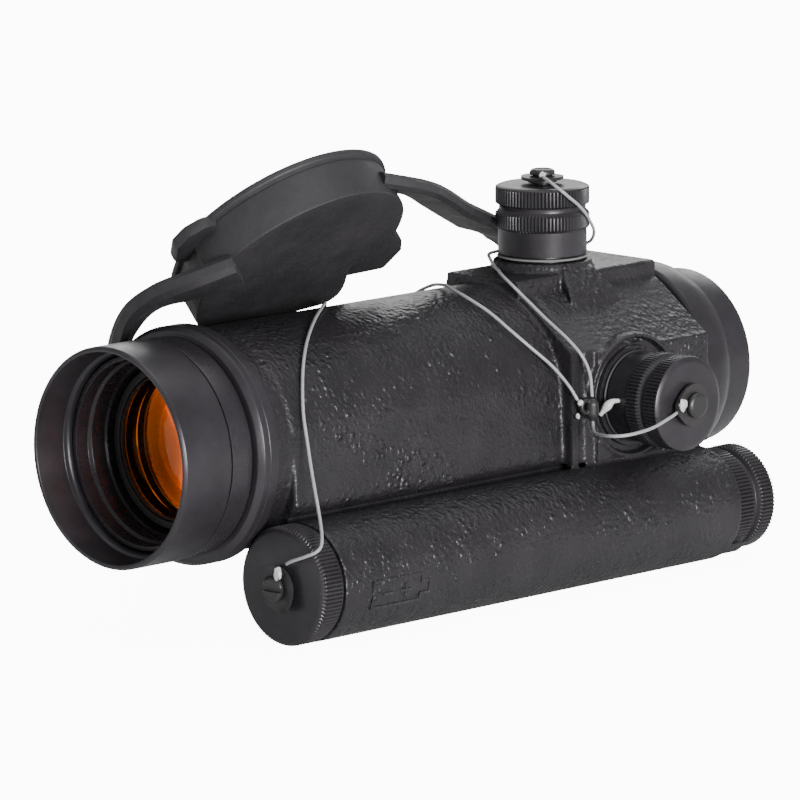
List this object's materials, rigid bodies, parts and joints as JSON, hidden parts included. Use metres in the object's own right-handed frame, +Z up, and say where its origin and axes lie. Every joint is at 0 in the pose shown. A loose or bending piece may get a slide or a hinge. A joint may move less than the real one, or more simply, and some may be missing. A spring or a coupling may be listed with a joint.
{
  "type": "tube red dot sight",
  "caption": "Long-tube electronic red dot sight with a side cell tube, capped windage and elevation adjusters, a rotary brightness switch and a rubber lens cover pulled back over the tube.",
  "frame": {"origin": "point of the flat mounting pad on the underside of the body, straight under the optical axis", "axes": "+Y along the optical axis from the objective to the eyepiece, +X towards the cell tube and the windage turret (the shooter's left), +Z up through the elevation turret"},
  "size_m": [0.0645, 0.1204, 0.068],
  "materials": {
    "cast_anodised": "matte",
    "machined_anodised": "satin",
    "blackened_brass": "satin",
    "black_alloy": "satin",
    "bright_steel": "brushed",
    "cover_rubber": "matte",
    "pale_seal": "matte",
    "amber_glass": "gloss",
    "clear_glass": "gloss",
    "board": "matte",
    "black_nylon": "matte",
    "nylon_line": "satin",
    "cell_jacket": "gloss",
    "red_emitter": "gloss"
  },
  "bodies": {
    "housing": {"main_housing": "cast_anodised", "front_hood": "machined_anodised", "objective_bell": "machined_anodised", "neck_collar": "machined_anodised", "eyepiece": "machined_anodised", "rear_collar": "machined_anodised", "rear_window": "clear_glass", "window_retaining_ring": "machined_anodised", "return_spring": "bright_steel", "elevation_turret_base": "blackened_brass", "windage_turret_base": "blackened_brass", "elevation_cap_gasket": "pale_seal", "windage_cap_gasket": "pale_seal", "battery_cell": "cell_jacket", "rear_contact": "bright_steel", "control_board": "board", "rotary_switch": "black_nylon", "switch_bushing": "blackened_brass", "lanyard_eyelet": "blackened_brass", "battery_lanyard": "nylon_line", "elevation_lanyard": "nylon_line", "windage_lanyard": "nylon_line", "lens_cover": "cover_rubber"},
    "gimbal": {"gimbal_ring": "black_alloy"},
    "optical_unit": {"inner_tube": "black_alloy", "objective_lens": "amber_glass", "lens_retaining_ring": "machined_anodised", "led_holder": "black_nylon", "led_emitter": "red_emitter"},
    "elevation_screw": {"elevation_adjuster": "blackened_brass"},
    "elevation_plunger": {"elevation_pusher": "bright_steel"},
    "windage_screw": {"windage_adjuster": "blackened_brass"},
    "windage_plunger": {"windage_pusher": "bright_steel"},
    "elevation_cap_pivot": {"elevation_swivel": "blackened_brass", "elevation_rivet": "blackened_brass"},
    "elevation_cap_shell": {"elevation_cap": "machined_anodised"},
    "windage_cap_pivot": {"windage_swivel": "blackened_brass", "windage_rivet": "blackened_brass"},
    "windage_cap_shell": {"windage_cap": "machined_anodised"},
    "battery_cap_pivot": {"battery_cap_swivel": "blackened_brass", "battery_cap_rivet": "blackened_brass"},
    "battery_cap_shell": {"battery_cap": "machined_anodised", "battery_spring": "bright_steel"},
    "switch_knob": {"switch_knob": "machined_anodised"}
  },
  "joints": [
    {"name": "elevation_cap_lift", "type": "slide", "parent": "housing", "child": "elevation_cap_pivot", "axis": [0, 0, 1], "range_m": [0, 0.004], "deforming": ["elevation_lanyard"]},
    {"name": "elevation_cap_turn", "type": "hinge", "parent": "elevation_cap_pivot", "child": "elevation_cap_shell", "pos_m": [0, 0.02845, 0.044], "axis": [0, 0, 1], "range_deg": [0, 1440.01]},
    {"name": "windage_cap_lift", "type": "slide", "parent": "housing", "child": "windage_cap_pivot", "axis": [1, 0, 0], "range_m": [0, 0.004], "deforming": ["windage_lanyard"]},
    {"name": "windage_cap_turn", "type": "hinge", "parent": "windage_cap_pivot", "child": "windage_cap_shell", "pos_m": [0.025, 0.02845, 0.019], "axis": [1, 0, 0], "range_deg": [0, 1440.01]},
    {"name": "battery_cap_lift", "type": "slide", "parent": "housing", "child": "battery_cap_pivot", "axis": [0, -1, 0], "range_m": [0, 0.005], "deforming": ["battery_lanyard"]},
    {"name": "battery_cap_turn", "type": "hinge", "parent": "battery_cap_pivot", "child": "battery_cap_shell", "pos_m": [0.01865, -0.04225, 0.0008], "axis": [0, -1, 0], "range_deg": [0, 1800.01]},
    {"name": "elevation_tilt", "type": "hinge", "parent": "housing", "child": "gimbal", "pos_m": [0, -0.02725, 0.019], "axis": [1, 0, 0], "range_deg": [-1.03, 1.03]},
    {"name": "windage_tilt", "type": "hinge", "parent": "gimbal", "child": "optical_unit", "pos_m": [0, -0.02725, 0.019], "axis": [0, 0, -1], "range_deg": [-1.03, 1.03]},
    {"name": "elevation_adjust", "type": "hinge", "parent": "housing", "child": "elevation_screw", "pos_m": [0, 0.02845, 0.041], "axis": [0, 0, 1], "range_deg": [-721, 721]},
    {"name": "elevation_push", "type": "slide", "parent": "housing", "child": "elevation_plunger", "axis": [0, 0, 1], "range_m": [-0.00101, 0.00101]},
    {"name": "windage_adjust", "type": "hinge", "parent": "housing", "child": "windage_screw", "pos_m": [0.022, 0.02845, 0.019], "axis": [1, 0, 0], "range_deg": [-721, 721]},
    {"name": "windage_push", "type": "slide", "parent": "housing", "child": "windage_plunger", "axis": [1, 0, 0], "range_m": [-0.00101, 0.00101]},
    {"name": "brightness_turn", "type": "hinge", "parent": "housing", "child": "switch_knob", "pos_m": [0.01865, 0.04675, 0.0008], "axis": [0, -1, 0], "range_deg": [0, 300]}
  ],
  "couplings": [
    {"joint": "elevation_cap_turn", "follows": "elevation_cap_lift", "rad_per_m": 6283.2},
    {"joint": "windage_cap_turn", "follows": "windage_cap_lift", "rad_per_m": 6283.2},
    {"joint": "battery_cap_turn", "follows": "battery_cap_lift", "rad_per_m": 6283.2},
    {"joint": "elevation_push", "follows": "elevation_tilt", "m_per_rad": 0.0557},
    {"joint": "elevation_adjust", "follows": "elevation_tilt", "ratio": 699.95},
    {"joint": "windage_push", "follows": "windage_tilt", "m_per_rad": 0.0557},
    {"joint": "windage_adjust", "follows": "windage_tilt", "ratio": 699.95}
  ]
}
